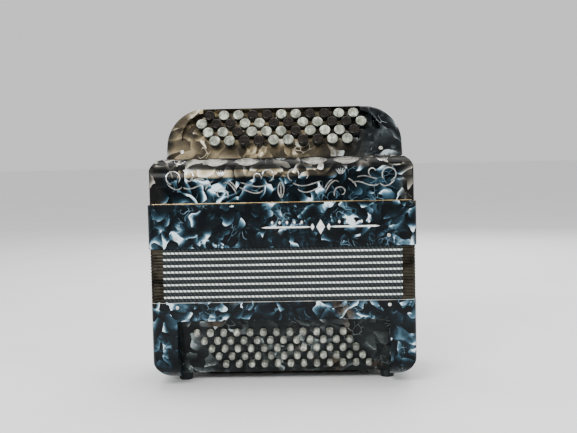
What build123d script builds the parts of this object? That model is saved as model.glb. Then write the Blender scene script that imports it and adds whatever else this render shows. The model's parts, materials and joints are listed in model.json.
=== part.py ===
from build123d import *

import os
from math import cos, radians, sin

# A chromatic button accordion with a stepped treble board and a Stradella bass,
# bellows closed, standing on the feet of its bass end with the treble end up.
# Frame: X along the length of the reed blocks, -Y towards the listener (the front),
# +Z from the bass end to the treble end. The origin is on the ground under the feet,
# midway between the two ends and between the front ledge and the strap eyelets.

# ---- Driving dimensions, in millimetres -------------------------------------------

# Heights
FOOT_HEIGHT = 11.0
BASS_TOP = 115.5
FOLD_COUNT = 17
FOLD_PITCH = 4.1
TREBLE_BOTTOM = BASS_TOP + FOLD_COUNT * FOLD_PITCH
LEDGE = 242.0
COVER_TOP = 300.0
BOARD_TOP = 366.5

# Plan
TREBLE_WIDTH = 346.0
TREBLE_FRONT, TREBLE_BACK = -90.0, 82.0
BASS_WIDTH = 343.0
BASS_FRONT, BASS_BACK = -88.0, 80.0
COVER_WIDTH = 341.0
COVER_FRONT, COVER_BACK = -86.0, -46.4
BOARD_LEFT, BOARD_RIGHT = -153.0, 160.0
BOARD_WIDTH, BOARD_MIDDLE = BOARD_RIGHT - BOARD_LEFT, (BOARD_RIGHT + BOARD_LEFT) / 2
BOARD_BACK = 45.0
WALL = 5.0
EDGE_RADIUS = 8.0

# Bass casing
BASS_END_RADIUS = 31.0
BASS_NOSE_RADIUS = 40.0
RECESS_HALF = 138.0
RECESS_TOP = 90.3
BOARD_THICKNESS = 3.0
COVER_HALF, COVER_Y = 118.0, (-26.0, 70.0)
COVER_REBATE = 3.0
FOOT_X, FOOT_Y = 137.0, (-22.0, 66.0)
FOOT_RADIUS = 10.5

# Bellows
FOLD_DEPTH = 26.0
FOLD_GAP = 0.1
CORNER_LEG = 17.0
FRAME_HEIGHT, FRAME_WALL = 15.0, 8.0
PIN_X = 137.0
PIN_RADIUS, PIN_HEAD_RADIUS = 1.3, 2.4

# Treble buttons: rows are listed from the lowest (nearest the grille) to the highest
TREBLE_ROWS = (10, 11, 12, 11)
TREBLE_PITCH = 19.4
TREBLE_TILT = 30.0
TREAD_STEP, TREAD_DROP = 16.2, 5.1
TREAD_Y, TREAD_Z = -36.1, 316.5
CAP_RADIUS, CAP_BODY_RADIUS = 7.15, 6.7
CAP_HEIGHT, CAP_BODY = 2.2, 8.0
BUTTON_LIFT = 4.2
STEM_RADIUS, STEM_REACH = 2.5, 10.6
STEM_HOLE_RADIUS = 2.8

# Treble action
AXLE_Y, AXLE_Z, AXLE_RADIUS = -43.0, 267.6, 1.5
LEVER_THICKNESS, LEVER_WIDTH = 2.4, 4.0
LEVER_SIDE_STEP = 2.2
PALLET_SIZE = (8.2, 13.0, 3.6)
PALLET_Y_FRONT, PALLET_Y_BACK = -73.0, -56.5

# Bass buttons
BASS_ROWS, BASS_COLUMNS = 5, 12
BASS_PITCH, BASS_ROW_STEP = 17.4, 13.7
BASS_TILT = 30.0
BASS_ROW_SHIFT, BASS_FIRST_ROW_X = 8.65, -18.8
BASS_BASE_Y, BASS_BASE_Z = -69.3, 73.1
BASS_CAP_RADIUS, BASS_CAP_OUT, BASS_CAP_IN = 4.5, 8.0, 6.0
BASS_HOLE_RADIUS = 4.8
BASS_STEM_RADIUS, BASS_STEM_END = 1.5, 20.0

# Reeds and soundboards
SOUNDBOARD = 6.0
BASS_SOUNDBOARD_Z, TREBLE_SOUNDBOARD_Z = 94.4, 230.8
REED_BLOCK_HEIGHT = 40.0
TREBLE_BLOCK_Y = (-46.0, -18.0, 10.0, 38.0)
BASS_BLOCK_Y = (-42.0, -4.0, 34.0)

# Fixings: screws, hand strap, and how far the eyelets stand out behind the casing
SCREW_RADIUS, SCREW_HEAD_RADIUS, SCREW_HEAD, SCREW_LENGTH = 1.2, 2.8, 1.2, 9.0
HOLE_CLEARANCE = 0.05
STRAP_Y, STRAP_END = (-8.0, 46.0), 141.0
EYELET_REACH = 9.2

# Grille cover
GRILLE_SHEET = 3.0
SLOT_X = (-84.5, -43.5, 43.5, 84.5)
SLOT_Y, SLOT_LENGTH, SLOT_WIDTH = -73.0, 32.0, 11.0
LEDGE_FRONT = -82.5

# Air valve and strap wheel
AIR_X, AIR_Y, AIR_RADIUS = 105.0, -18.0, 6.0
VALVE_Y, VALVE_Z = 0.0, 74.0
WHEEL_X, WHEEL_Y, WHEEL_Z, WHEEL_RADIUS = 163.0, 20.0, 58.0, 10.0

TREBLE_PLANE = Plane(
    origin=(0, TREAD_Y, TREAD_Z),
    x_dir=(1, 0, 0),
    z_dir=(0, -cos(radians(TREBLE_TILT)), sin(radians(TREBLE_TILT))),
)
BASS_PLANE = Plane(
    origin=(0, BASS_BASE_Y, BASS_BASE_Z),
    x_dir=(1, 0, 0),
    z_dir=(0, -cos(radians(BASS_TILT)), -sin(radians(BASS_TILT))),
)


# ---- Shape helpers ----------------------------------------------------------------

def block(x0, x1, y0, y1, z0, z1):
    """A plain block between two opposite corners."""
    centre = Pos((x0 + x1) / 2, (y0 + y1) / 2, (z0 + z1) / 2)
    return centre * Box(x1 - x0, y1 - y0, z1 - z0)


def plan_block(width, y0, y1, z0, z1, radius):
    """A block centred on X whose four upright edges are rounded."""
    plan = RectangleRounded(width, y1 - y0, radius)
    return Pos(0, (y0 + y1) / 2, z0) * extrude(plan, z1 - z0)


def arch(width, z0, z1, radius):
    """A front outline from z0 to z1 whose two corners at z1 are rounded."""
    outline = Pos(0, (z0 + z1) / 2) * Rectangle(width, abs(z1 - z0))
    far = -1 if z1 > z0 else 0
    return fillet(outline.vertices().group_by(Axis.Y)[far], radius)


def profile(points, rounded=()):
    """A side outline of (y, z) points, with (index, radius) pairs for rounded corners."""
    outline = Polygon(*points, align=None)
    for index, radius in rounded:
        corner = outline.vertices().sort_by_distance((*points[index], 0))[0]
        outline = fillet(corner, radius)
    return outline


def along_x(outline, x0, x1):
    """A prism along X from a side outline."""
    side = Plane(origin=(x0, 0, 0), x_dir=(0, 1, 0), z_dir=(1, 0, 0))
    return extrude(side * outline, x1 - x0, dir=(1, 0, 0))


def along_y(outline, y0, y1):
    """A prism along Y from a front outline."""
    front = Plane(origin=(0, y1, 0), x_dir=(1, 0, 0), z_dir=(0, -1, 0))
    return extrude(front * outline, y1 - y0, dir=(0, -1, 0))


def rod(radius, start, end):
    """A round bar between two points."""
    line = Vector(*end) - Vector(*start)
    plane = Plane(origin=start, z_dir=line)
    return extrude(plane * Circle(radius), line.length)


def treble_point(up, out):
    """The (y, z) place a distance up the lowest tread's plane and out from it."""
    point = TREBLE_PLANE.from_local_coords(Vector(0, up, out))
    return point.Y, point.Z


def save(name, pieces):
    """Write a node: one solid, or a group of separate solids."""
    solids = [solid for piece in pieces for solid in piece.solids()]
    shape = solids[0] if len(solids) == 1 else Compound(children=solids)
    export_step(shape, f"parts/{name}.step")


# ---- Screws and pins --------------------------------------------------------------

def round_head_screw(place, radius=SCREW_RADIUS, head=SCREW_HEAD_RADIUS):
    """A round-headed screw or pin, its head standing out along the place's Z axis."""
    cap = extrude(Circle(head), SCREW_HEAD)
    cap = fillet(cap.edges().group_by(Axis.Z)[-1], SCREW_HEAD * 0.7)
    shank = Pos(0, 0, -SCREW_LENGTH) * extrude(Circle(radius), SCREW_LENGTH)
    return place * (cap + shank)


def screw_hole(place, radius=SCREW_RADIUS):
    """The hole that a screw or pin at the same place needs."""
    depth = SCREW_LENGTH + 0.5
    return place * (Pos(0, 0, -depth) * extrude(Circle(radius + HOLE_CLEARANCE), depth + 1))


def facing(x, y, z, direction):
    """A place whose Z axis points along the given direction."""
    return Plane(origin=(x, y, z), z_dir=direction)


def bellows_pin_places(front, back, z):
    """Two pins through the front wall and two through the back wall."""
    places = [facing(side * PIN_X, front, z, (0, -1, 0)) for side in (-1, 1)]
    places += [facing(side * PIN_X, back, z, (0, 1, 0)) for side in (-1, 1)]
    return places


def bellows_pins(places):
    """The pins that hold one end of the bellows in its casing."""
    return [round_head_screw(place, PIN_RADIUS, PIN_HEAD_RADIUS) for place in places]


BASS_PINS = bellows_pin_places(BASS_FRONT, BASS_BACK, BASS_TOP - 7)
TREBLE_PINS = bellows_pin_places(TREBLE_FRONT, TREBLE_BACK, TREBLE_BOTTOM + 13)
COVER_SCREWS = [
    facing(x, y, FOOT_HEIGHT, (0, 0, -1))
    for x in (-115, 0, 115) for y in (COVER_Y[0] + 3, COVER_Y[1] - 3)
]
GRILLE_SCREWS = [
    facing(side * COVER_WIDTH / 2, -66, LEDGE + 12, (side, 0, 0)) for side in (-1, 1)
]
BOARD_SCREWS = [TREBLE_PLANE * Pos(side * 131.4, -8.7, 0) for side in (-1, 1)]


# ---- Bass end ---------------------------------------------------------------------

def bass_board_y(z):
    """Where the front of the sloping bass button board is at a height."""
    slope = sin(radians(BASS_TILT)) / cos(radians(BASS_TILT))
    return BASS_BASE_Y + (BASS_BASE_Z - z) * slope


BOARD_RUN = BOARD_THICKNESS / cos(radians(BASS_TILT))


def bass_shell(inset):
    """The outer form of the bass casing, drawn in on every closed side by inset."""
    width = BASS_WIDTH - 2 * inset
    front, back = BASS_FRONT + inset, BASS_BACK - inset
    base = FOOT_HEIGHT + inset
    top = BASS_TOP + inset
    plan = plan_block(width, front, back, base, top, EDGE_RADIUS - inset * 0.8)
    ends = along_y(arch(width, top, base, BASS_END_RADIUS - inset), front, back)
    corners = [(back, base), (front, base), (front, top), (back, top)]
    side = profile(corners, [(1, BASS_NOSE_RADIUS - inset)])
    return plan & ends & along_x(side, -width / 2, width / 2)


def recess_outline(run, lift):
    """Side outline of the hollow in front of the sloping button board."""
    top = RECESS_TOP + lift
    base = FOOT_HEIGHT - 1
    front = BASS_FRONT - 2
    return profile([
        (front, top),
        (bass_board_y(RECESS_TOP) + run, top),
        (bass_board_y(FOOT_HEIGHT) + run, FOOT_HEIGHT),
        (bass_board_y(FOOT_HEIGHT) + run, base),
        (front, base),
    ])


def end_cover_opening():
    """The way in from the bass end, with the rebate that the cover lies in."""
    lip = 6.0
    y0, y1 = COVER_Y
    half = COVER_HALF - lip
    through = block(-half, half, y0 + lip, y1 - lip, 0, FOOT_HEIGHT + WALL)
    rebate = block(-COVER_HALF, COVER_HALF, y0, y1, 0, FOOT_HEIGHT + COVER_REBATE)
    return through + rebate


def wheel_ears():
    """Two ears inside the end wall that carry the strap wheel's stub shaft."""
    inner = BASS_WIDTH / 2 - WALL
    ears = []
    for y in (WHEEL_Y - 9, WHEEL_Y + 5):
        ears.append(block(WHEEL_X - 5, inner + 0.5, y, y + 4, WHEEL_Z - 5, WHEEL_Z + 5))
    return ears


def air_button_hole():
    """The hole in the bass end that the air button slides in."""
    return rod(AIR_RADIUS + 0.4, (AIR_X, AIR_Y, 0), (AIR_X, AIR_Y, FOOT_HEIGHT + WALL + 1))


def bass_casing():
    """Casing with the front recess, end opening, wheel slot and pin holes."""
    outer = bass_shell(0)
    casing = outer - bass_shell(WALL)
    for side in (-1, 1):
        x0, x1 = sorted((side * RECESS_HALF, side * (RECESS_HALF + 4)))
        casing += along_x(recess_outline(BOARD_RUN + 3, 4), x0, x1) & outer
    front_rail = block(
        -RECESS_HALF - 4, RECESS_HALF + 4, BASS_FRONT + 2, bass_board_y(RECESS_TOP) + 6,
        RECESS_TOP, RECESS_TOP + 4,
    )
    casing += front_rail
    casing -= along_x(recess_outline(BOARD_RUN, 0), -RECESS_HALF, RECESS_HALF)
    casing -= end_cover_opening()
    for ear in wheel_ears():
        casing += ear
    casing -= block(
        WHEEL_X - 12, BASS_WIDTH, WHEEL_Y - 4.5, WHEEL_Y + 4.5, WHEEL_Z - 11, WHEEL_Z + 11,
    )
    casing -= rod(2.05, (WHEEL_X, WHEEL_Y - 10, WHEEL_Z), (WHEEL_X, WHEEL_Y + 10, WHEEL_Z))
    casing -= air_button_hole()
    for place in BASS_PINS + COVER_SCREWS:
        casing -= screw_hole(place, PIN_RADIUS if place in BASS_PINS else SCREW_RADIUS)
    return casing


def bass_button_places(row):
    """Local places of one row's buttons on the bass board."""
    centre = BASS_FIRST_ROW_X + row * BASS_ROW_SHIFT
    half = (BASS_COLUMNS - 1) / 2
    return [
        (centre + (column - half) * BASS_PITCH, -row * BASS_ROW_STEP)
        for column in range(BASS_COLUMNS)
    ]


def all_bass_places():
    """Local places of every bass button."""
    return [place for row in range(BASS_ROWS) for place in bass_button_places(row)]


def bass_button_board():
    """Sloping board with a hole for every bass button."""
    board = along_x(profile([
        (bass_board_y(RECESS_TOP), RECESS_TOP),
        (bass_board_y(FOOT_HEIGHT), FOOT_HEIGHT),
        (bass_board_y(FOOT_HEIGHT) + BOARD_RUN, FOOT_HEIGHT),
        (bass_board_y(RECESS_TOP) + BOARD_RUN, RECESS_TOP),
    ]), -RECESS_HALF, RECESS_HALF)
    hole = Pos(0, 0, -BOARD_THICKNESS - 1) * extrude(Circle(BASS_HOLE_RADIUS), BOARD_THICKNESS + 2)
    return board - [BASS_PLANE * Pos(x, y, 0) * hole for x, y in all_bass_places()]


def bass_plunger_guide():
    """Plate behind the board that keeps the button stems in line, on four posts."""
    depth, thickness, reach = 14.0, 2.0, 9.0
    low = -(BASS_ROWS - 1) * BASS_ROW_STEP - reach
    plate = block(-COVER_HALF, COVER_HALF, low, reach, -depth - thickness, -depth)
    post_x = COVER_HALF - 2.5
    for x, y in ((-post_x, low + 4), (-post_x, -12), (post_x, low + 20), (post_x, reach - 3)):
        plate += Pos(x, y, -depth) * extrude(Circle(2), depth - BOARD_THICKNESS)
    hole = extrude(Circle(BASS_STEM_RADIUS + 0.3), thickness + 2)
    hole = Pos(0, 0, -depth - thickness - 1) * hole
    plate -= [Pos(x, y, 0) * hole for x, y in all_bass_places()]
    return BASS_PLANE * plate


def bass_button():
    """One bass button: a domed cap on a thin stem, pointing along Z."""
    cap = Pos(0, 0, -BASS_CAP_IN) * extrude(Circle(BASS_CAP_RADIUS), BASS_CAP_IN + BASS_CAP_OUT)
    cap = fillet(cap.edges().group_by(Axis.Z)[-1], BASS_CAP_RADIUS * 0.85)
    stem = extrude(Circle(BASS_STEM_RADIUS), BASS_STEM_END - BASS_CAP_IN)
    return cap + Pos(0, 0, -BASS_STEM_END) * stem


def bass_button_row(row):
    """One row of bass buttons."""
    return [BASS_PLANE * Pos(x, y, 0) * bass_button() for x, y in bass_button_places(row)]


def bass_end_cover():
    """Screwed cover over the bass machine, in the plane of the feet."""
    gap = 0.15
    y0, y1 = COVER_Y
    cover = block(
        -COVER_HALF + gap, COVER_HALF - gap, y0 + gap, y1 - gap,
        FOOT_HEIGHT, FOOT_HEIGHT + COVER_REBATE,
    )
    cover -= air_button_hole()
    return cover - [screw_hole(place) for place in COVER_SCREWS]


def bass_feet():
    """Four tapered rubber feet."""
    feet = []
    for x in (-FOOT_X, FOOT_X):
        for y in FOOT_Y:
            foot = Cone(FOOT_RADIUS - 1.6, FOOT_RADIUS, FOOT_HEIGHT)
            foot = fillet(foot.edges().group_by(Axis.Z)[0], 2.0)
            collar = Pos(0, 0, FOOT_HEIGHT / 2) * extrude(Circle(FOOT_RADIUS), 2.5)
            feet.append(Pos(x, y, FOOT_HEIGHT / 2) * (foot + collar) - bass_shell(0))
    return feet


def bass_strap():
    """Leather hand strap lying slack under the bass end."""
    band = profile([
        (-STRAP_END, 8.0), (-126, 7.6), (-104, 2.0), (104, 2.0), (126, 7.6), (STRAP_END, 8.0),
        (STRAP_END, 11.0), (125, 10.6), (103, 5.0), (-103, 5.0), (-125, 10.6), (-STRAP_END, 11.0),
    ])
    strap = along_y(band, *STRAP_Y)
    return strap - bass_shell(0)


def bass_strap_brackets():
    """Steel plates that clamp the ends of the hand strap to the casing."""
    plates = []
    for side in (-1, 1):
        near, far = side * 129.0, side * 140.0
        outline = profile([(near, 6.1), (far, 6.4), (far, 7.97), (near, 7.68)])
        plates.append(along_y(outline, STRAP_Y[0] + 3, STRAP_Y[1] - 3))
    return plates


def soundboard(width, y0, y1, z0, holes):
    """A wooden plate with a rectangular hole for every pallet or valve."""
    plate = plan_block(width, y0, y1, z0, z0 + SOUNDBOARD, EDGE_RADIUS - 3)
    cuts = [block(x - a / 2, x + a / 2, y - b / 2, y + b / 2, z0 - 1, z0 + SOUNDBOARD + 1)
            for x, y, a, b in holes]
    return plate - cuts


def bass_soundboard():
    """Bass soundboard, with slots under each reed block and the air hole."""
    inner_width = BASS_WIDTH - 2 * WALL - 0.4
    slots = [(x, y, 10, 8) for y in BASS_BLOCK_Y for x in range(-88, 89, 16)]
    air_hole = [(AIR_X + 12, VALVE_Y + 22, 12, 14)]
    board = soundboard(
        inner_width, BASS_FRONT + WALL + 0.2, BASS_BACK - WALL - 0.2, BASS_SOUNDBOARD_Z,
        slots + air_hole,
    )
    cheek_z = VALVE_Z - 4
    y0, y1 = VALVE_Y - 4, VALVE_Y + 4
    bracket = block(AIR_X - 8, AIR_X - 5, y0, y1, cheek_z, BASS_SOUNDBOARD_Z)
    bracket += block(AIR_X + 5, AIR_X + 8, y0, y1, cheek_z, BASS_SOUNDBOARD_Z)
    bracket += rod(AXLE_RADIUS, (AIR_X - 5.5, VALVE_Y, VALVE_Z), (AIR_X + 5.5, VALVE_Y, VALVE_Z))
    return board + bracket


def reed_blocks(centres, length, z0, z1, slope):
    """Long wooden blocks that narrow away from the soundboard."""
    blocks = []
    for y in centres:
        narrow = (y - 8, z1), (y + 8, z1)
        wide = (y + 8 + slope, z0), (y - 8 - slope, z0)
        blocks.append(along_x(profile([*narrow, *wide]), -length / 2, length / 2))
    return blocks


def reed_plates(centres, length, z0, z1, slope, count):
    """Metal reed plates in a row on both faces of every reed block."""
    pitch = length / count
    plates = []
    for y in centres:
        for side in (-1, 1):
            inner_low, inner_high = y + side * (8 + slope), y + side * 8
            face = profile([
                (inner_low, z0), (inner_high, z1),
                (inner_high + side * 1.2, z1), (inner_low + side * 1.2, z0),
            ])
            for index in range(count):
                x = -length / 2 + (index + 0.5) * pitch
                plates.append(along_x(face, x - pitch * 0.44, x + pitch * 0.44))
    return plates


# ---- Air valve and strap wheel ----------------------------------------------------

def air_button():
    """Press button that opens the air valve."""
    cap = Pos(AIR_X, AIR_Y, 5) * extrude(Circle(AIR_RADIUS), FOOT_HEIGHT + 3 - 5)
    cap = fillet(cap.edges().group_by(Axis.Z)[0], 1.5)
    return cap + rod(2.0, (AIR_X, AIR_Y, FOOT_HEIGHT + 3), (AIR_X, AIR_Y, VALVE_Z - 2.9))


def air_valve():
    """Rocking lever with the leather-faced pad that closes the air hole."""
    half = 2.0
    hub = rod(4.0, (AIR_X - 4.5, VALVE_Y, VALVE_Z), (AIR_X + 4.5, VALVE_Y, VALVE_Z))
    arm = block(AIR_X - 3, AIR_X + 3, AIR_Y - 4, VALVE_Y + 24, VALVE_Z - half, VALVE_Z + half)
    post_y = VALVE_Y + 22
    post = block(AIR_X - 3, AIR_X + 3, post_y - 3, post_y + 3, VALVE_Z, BASS_SOUNDBOARD_Z - 4)
    pad_z = BASS_SOUNDBOARD_Z - 0.1
    pad = block(AIR_X + 2, AIR_X + 22, post_y - 9, post_y + 9, pad_z - 4.1, pad_z)
    bridge = block(AIR_X - 3, AIR_X + 6, post_y - 3, post_y + 3, pad_z - 7.9, pad_z - 3.9)
    bore = rod(AXLE_RADIUS + 0.06, (AIR_X - 6, VALVE_Y, VALVE_Z), (AIR_X + 6, VALVE_Y, VALVE_Z))
    return hub + arm + post + bridge + pad - bore


def strap_adjuster_wheel():
    """Knurled thumb wheel with its stub shaft."""
    notch_count = 24
    disc = rod(WHEEL_RADIUS, (WHEEL_X, WHEEL_Y - 3.5, WHEEL_Z), (WHEEL_X, WHEEL_Y + 3.5, WHEEL_Z))
    notches = []
    for index in range(notch_count):
        angle = radians(360 * (index + 0.5) / notch_count)
        x = WHEEL_X + (WHEEL_RADIUS + 0.3) * cos(angle)
        z = WHEEL_Z + (WHEEL_RADIUS + 0.3) * sin(angle)
        notches.append(rod(0.8, (x, WHEEL_Y - 4, z), (x, WHEEL_Y + 4, z)))
    shaft = rod(2.0, (WHEEL_X, WHEEL_Y - 8.5, WHEEL_Z), (WHEEL_X, WHEEL_Y + 8.5, WHEEL_Z))
    return disc - notches + shaft


# ---- Bellows ----------------------------------------------------------------------

def fold_bar(half_length, half_other, corner):
    """Plan of one side of a fold, along X, with its ends mitred and its corners cut."""
    inner = half_length - FOLD_DEPTH
    outer_end = half_length - corner
    mitre = half_length - corner / 2
    y0, ym, y1 = -half_other, -half_other + corner / 2, -half_other + FOLD_DEPTH
    return Polygon(
        (-outer_end, y0), (outer_end, y0), (mitre, ym), (inner, y1), (-inner, y1), (-mitre, ym),
        align=None,
    )


def fold_corner(half_x, half_y, corner):
    """Plan of the metal corner piece at one corner of a fold."""
    outline = Polygon(
        (half_x - corner, -half_y), (half_x, -half_y), (half_x, -half_y + corner), align=None
    )
    tip = outline.vertices().sort_by_distance((half_x, -half_y, 0))[0]
    return fillet(tip, 5.0)


def bellows_fold(index):
    """One fold: four mitred sides and four metal corners, closed up flat."""
    half_x = BASS_WIDTH / 2 - 0.5
    half_y = (BASS_BACK - BASS_FRONT) / 2
    centre = Pos(0, (BASS_BACK + BASS_FRONT) / 2, BASS_TOP + index * FOLD_PITCH + FOLD_GAP / 2)
    height = FOLD_PITCH - FOLD_GAP
    front = fold_bar(half_x, half_y, CORNER_LEG)
    side = Rot(0, 0, 90) * fold_bar(half_y, half_x, CORNER_LEG)
    corner = fold_corner(half_x, half_y, CORNER_LEG)
    outlines = [front, side, mirror(front, Plane.XZ), mirror(side, Plane.YZ)]
    outlines += [corner, mirror(corner, Plane.YZ), mirror(corner, Plane.XZ)]
    outlines.append(mirror(mirror(corner, Plane.YZ), Plane.XZ))
    return [centre * extrude(outline, height, dir=(0, 0, 1)) for outline in outlines]


def bellows_frame(width, front, back, z0):
    """Wooden frame that plugs the end of the bellows into a casing."""
    outer = plan_block(width, front, back, z0, z0 + FRAME_HEIGHT, EDGE_RADIUS - 3)
    edge = width / 2 - FRAME_WALL
    inner = block(-edge, edge, front + FRAME_WALL, back - FRAME_WALL, z0 - 1, z0 + FRAME_HEIGHT + 1)
    pins = BASS_PINS if z0 < BASS_TOP else TREBLE_PINS
    return outer - inner - [screw_hole(place, PIN_RADIUS) for place in pins]


# ---- Treble end -------------------------------------------------------------------

def treble_casing():
    """Band of the treble casing with its ledge, open under the grille and the board."""
    deck = LEDGE - WALL
    casing = plan_block(
        TREBLE_WIDTH, TREBLE_FRONT, TREBLE_BACK, TREBLE_BOTTOM, LEDGE, EDGE_RADIUS + 1,
    )
    casing = fillet(casing.edges().group_by(Axis.Z)[-1], 1.0)
    casing -= plan_block(
        TREBLE_WIDTH - 2 * WALL - 2, TREBLE_FRONT + WALL + 1, TREBLE_BACK - WALL - 1,
        TREBLE_BOTTOM - 1, deck, EDGE_RADIUS - 4,
    )
    casing -= block(-152, 152, LEDGE_FRONT, 36, deck - 1, LEDGE + 1)
    return casing - [screw_hole(place, PIN_RADIUS) for place in TREBLE_PINS]


def board_outer():
    """Outer form of the fingerboard: sloping front, flat top, rounded ends and edges."""
    lip = treble_point(-20, 0)
    crest_up = (BOARD_TOP - TREAD_Z) / cos(radians(TREBLE_TILT))
    side = profile([
        (-52, LEDGE), (-52, 288), (lip[0], 294), lip, treble_point(crest_up, 0),
        (BOARD_BACK, BOARD_TOP), (BOARD_BACK, LEDGE),
    ])
    ends = Pos(BOARD_MIDDLE, 0) * arch(BOARD_WIDTH, LEDGE, BOARD_TOP, 48)
    body = along_x(side, BOARD_LEFT, BOARD_RIGHT) & along_y(ends, -60, BOARD_BACK)
    slope = [face for face in body.faces() if face.normal_at().dot(TREBLE_PLANE.z_dir) > 0.99][0]
    body = fillet(slope.edges().sort_by(Axis.Z)[1:], 6.0)
    back = body.faces().sort_by(Axis.Y)[-1]
    return fillet(back.edges().sort_by(Axis.Z)[1:], 8.0)


def stepped_recess():
    """The space cut down to the treads, one step deeper for each higher row."""
    half = TREAD_STEP / 2
    points = [treble_point(half, 40)]
    for step in range(1, len(TREBLE_ROWS)):
        up = step * TREAD_STEP - half
        points.append(treble_point(up, -step * TREAD_DROP))
        end = up + TREAD_STEP if step < len(TREBLE_ROWS) - 1 else up + 19.1
        points.append(treble_point(end, -step * TREAD_DROP))
    points.append(treble_point(end, 40))
    steps = along_x(profile(points), BOARD_LEFT, BOARD_RIGHT)
    outline = arch(266, 290, 361, 32) + Pos(0, 360) * Rectangle(212, 60)
    return steps & along_y(outline, -90, 60)


def board_hollow():
    """The space inside the fingerboard, open below and towards the grille."""
    backing = 4.0
    drop = TREAD_DROP / TREAD_STEP
    start = TREAD_STEP / 2 - (TREAD_DROP + 0.2) / drop
    end = 2.5 * TREAD_STEP
    side = profile([
        treble_point(-20, -backing), treble_point(start, -backing),
        treble_point(end, -3 * TREAD_DROP - backing - 0.2), treble_point(58, -21),
        (14, BOARD_TOP - WALL), (BOARD_BACK - WALL, BOARD_TOP - WALL),
        (BOARD_BACK - WALL, LEDGE - 5), (-60, LEDGE - 5), (-60, 295),
    ])
    ends = Pos(BOARD_MIDDLE, 0) * arch(BOARD_WIDTH - 2 * WALL, LEDGE - 5, BOARD_TOP - WALL, 43)
    hollow = along_x(side, BOARD_LEFT + WALL, BOARD_RIGHT - WALL)
    return hollow & along_y(ends, -60, BOARD_BACK)


def treble_places(row):
    """Local places of one row's buttons, on its own tread."""
    count = TREBLE_ROWS[row]
    return [
        ((column - (count - 1) / 2) * TREBLE_PITCH, row * TREAD_STEP, -row * TREAD_DROP)
        for column in range(count)
    ]


def fingerboard():
    """Hollow stepped board with a bushed hole for every button stem."""
    board = board_outer() - stepped_recess() - board_hollow()
    hole = Pos(0, 0, -20) * extrude(Circle(STEM_HOLE_RADIUS), 21)
    holes = [
        TREBLE_PLANE * Pos(*place) * hole
        for row in range(len(TREBLE_ROWS)) for place in treble_places(row)
    ]
    left, right = BOARD_LEFT + WALL - 3, BOARD_RIGHT - WALL + 3
    board -= rod(AXLE_RADIUS + 0.05, (left, AXLE_Y, AXLE_Z), (right, AXLE_Y, AXLE_Z))
    return board - holes - [screw_hole(place) for place in BOARD_SCREWS]


def cover_form(inset):
    """Form of the grille cover: upright front, rounded over to a flat top."""
    front, top = COVER_FRONT + inset, COVER_TOP - inset
    side = profile(
        [(front, LEDGE), (front, top), (COVER_BACK, top), (COVER_BACK, LEDGE)],
        [(1, 28 - inset)],
    )
    half = COVER_WIDTH / 2
    return along_x(side, -half, half)


def mesh_slot(x):
    """A leaf-shaped slot through the rounded top of the grille cover."""
    radius = (SLOT_LENGTH ** 2 / 4 + SLOT_WIDTH ** 2 / 4) / SLOT_WIDTH
    offset = radius - SLOT_WIDTH / 2
    leaf = (Pos(0, offset) * Circle(radius)) & (Pos(0, -offset) * Circle(radius))
    return Pos(x, SLOT_Y, COVER_TOP - 20) * extrude(leaf, 30)


def grille_cover():
    """Cover over the treble pallets, with thick end cheeks and four mesh slots."""
    ends = along_y(arch(COVER_WIDTH, LEDGE, COVER_TOP, 18), COVER_FRONT, COVER_BACK)
    plan = plan_block(COVER_WIDTH, COVER_FRONT, COVER_BACK + 20, LEDGE, COVER_TOP, 7.0)
    cover = cover_form(0) & ends & plan
    left, right = BOARD_LEFT - 0.3, BOARD_RIGHT + 0.3
    hollow = cover_form(GRILLE_SHEET) & block(left, right, -90, 0, LEDGE - 1, COVER_TOP)
    cover -= hollow
    cover -= [mesh_slot(x) for x in SLOT_X]
    return cover - [screw_hole(place) for place in GRILLE_SCREWS]


def grille_mesh():
    """Thin mesh sheet carried behind the slots."""
    shift = GRILLE_SHEET + 0.2
    sheet = cover_form(shift) - cover_form(shift + 0.8)
    return sheet & block(-104, 104, -81, -60, COVER_TOP - 25, COVER_TOP)


def scroll(x, z, radius, start, sweep):
    """A thin raised arc on the front of the grille cover."""
    path = CenterArc((0, 0), radius, start, sweep)
    band = trace(path, 1.8)
    front = Plane(origin=(x, COVER_FRONT, z), x_dir=(1, 0, 0), z_dir=(0, -1, 0))
    return extrude(front * band, 0.8)


def grille_scrollwork():
    """Applied metal ornament: a row of plain paired arcs about the middle."""
    arcs = []
    for side in (-1, 1):
        for index, x in enumerate((30, 62, 94, 126)):
            start = 200 if index % 2 else 20
            arcs.append(scroll(side * x, LEDGE + 18, 11, start, 140))
    return arcs


def treble_soundboard():
    """Treble soundboard with one hole under every pallet."""
    inner = TREBLE_WIDTH - 2 * WALL - 2.4
    holes = [(x, y, 5, 9) for x, y in all_pallet_places()]
    return soundboard(
        inner, TREBLE_FRONT + WALL + 1.2, TREBLE_BACK - WALL - 1.2, TREBLE_SOUNDBOARD_Z, holes,
    )


def pallet_y(row):
    """The two higher rows work the front pallets, the two lower rows the back ones."""
    return PALLET_Y_FRONT if row >= 2 else PALLET_Y_BACK


def all_pallet_places():
    """Plan places of every treble pallet."""
    rows = range(len(TREBLE_ROWS))
    return [(place[0], pallet_y(row)) for row in rows for place in treble_places(row)]


def lever_bar(start, end, x):
    """A flat bar between two (y, z) points, at a place along X."""
    line = Vector(0, end[0] - start[0], end[1] - start[1])
    middle = (0, (start[0] + end[0]) / 2, (start[1] + end[1]) / 2)
    plane = Plane(origin=middle, x_dir=line, z_dir=(1, 0, 0))
    bar = plane * Box(line.length, LEVER_WIDTH, LEVER_THICKNESS)
    return Pos(x, 0, 0) * bar


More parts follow.
